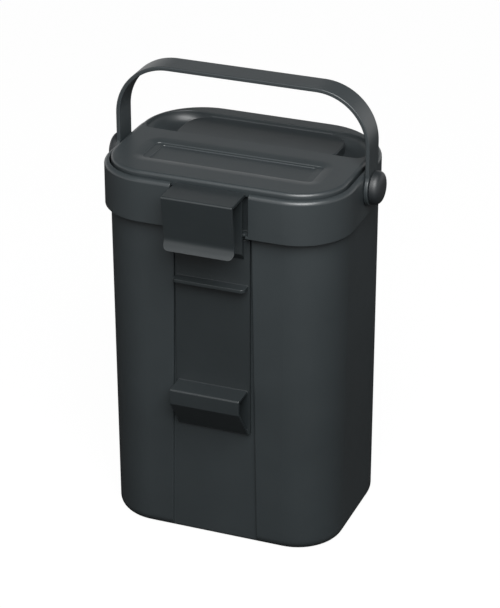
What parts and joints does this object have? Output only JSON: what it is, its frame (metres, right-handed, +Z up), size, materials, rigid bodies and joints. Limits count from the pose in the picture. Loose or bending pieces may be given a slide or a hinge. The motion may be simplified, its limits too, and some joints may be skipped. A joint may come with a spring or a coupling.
{
  "type": "hanging kitchen compost bin",
  "caption": "Lidded rectangular kitchen compost bin with rounded corners, a collar ring, a bail handle and a bracket that hooks over a cabinet door.",
  "frame": {"origin": "on the flat underside, below the middle of the collar's outline from above, under the line of the handle's pivots", "axes": "+Z up along the bucket's height, -Y towards the front with the hanging bracket, +X to the right along the handle's pivots"},
  "size_m": [0.222, 0.1791, 0.3665],
  "materials": {
    "moulded_grey": "satin moulded polypropylene in dark anthracite grey",
    "handle_grey": "satin moulded polypropylene in dark anthracite grey, a little smoother",
    "bracket_grey": "satin moulded plastic in dark anthracite grey"
  },
  "bodies": {
    "bucket": {"bucket": "moulded_grey"},
    "collar": {"collar": "moulded_grey", "left_pivot_pin": "handle_grey", "right_pivot_pin": "handle_grey"},
    "lid": {"lid": "moulded_grey"},
    "handle": {"handle": "handle_grey"},
    "bracket": {"hanging_bracket": "bracket_grey"}
  },
  "joints": [
    {"name": "collar_lift", "type": "slide", "parent": "bucket", "child": "collar", "axis": [0, 0, 1], "range_m": [0, 0.028]},
    {"name": "lid_lift", "type": "slide", "parent": "collar", "child": "lid", "axis": [0, 0, 1], "range_m": [0, 0.036]},
    {"name": "handle_swing", "type": "hinge", "parent": "collar", "child": "handle", "pos_m": [0, 0, 0.2895], "axis": [1, 0, 0], "range_deg": [-72, 72]},
    {"name": "bracket_slide", "type": "slide", "parent": "bucket", "child": "bracket", "axis": [0, 0, 1], "range_m": [-0.27, 0]}
  ]
}
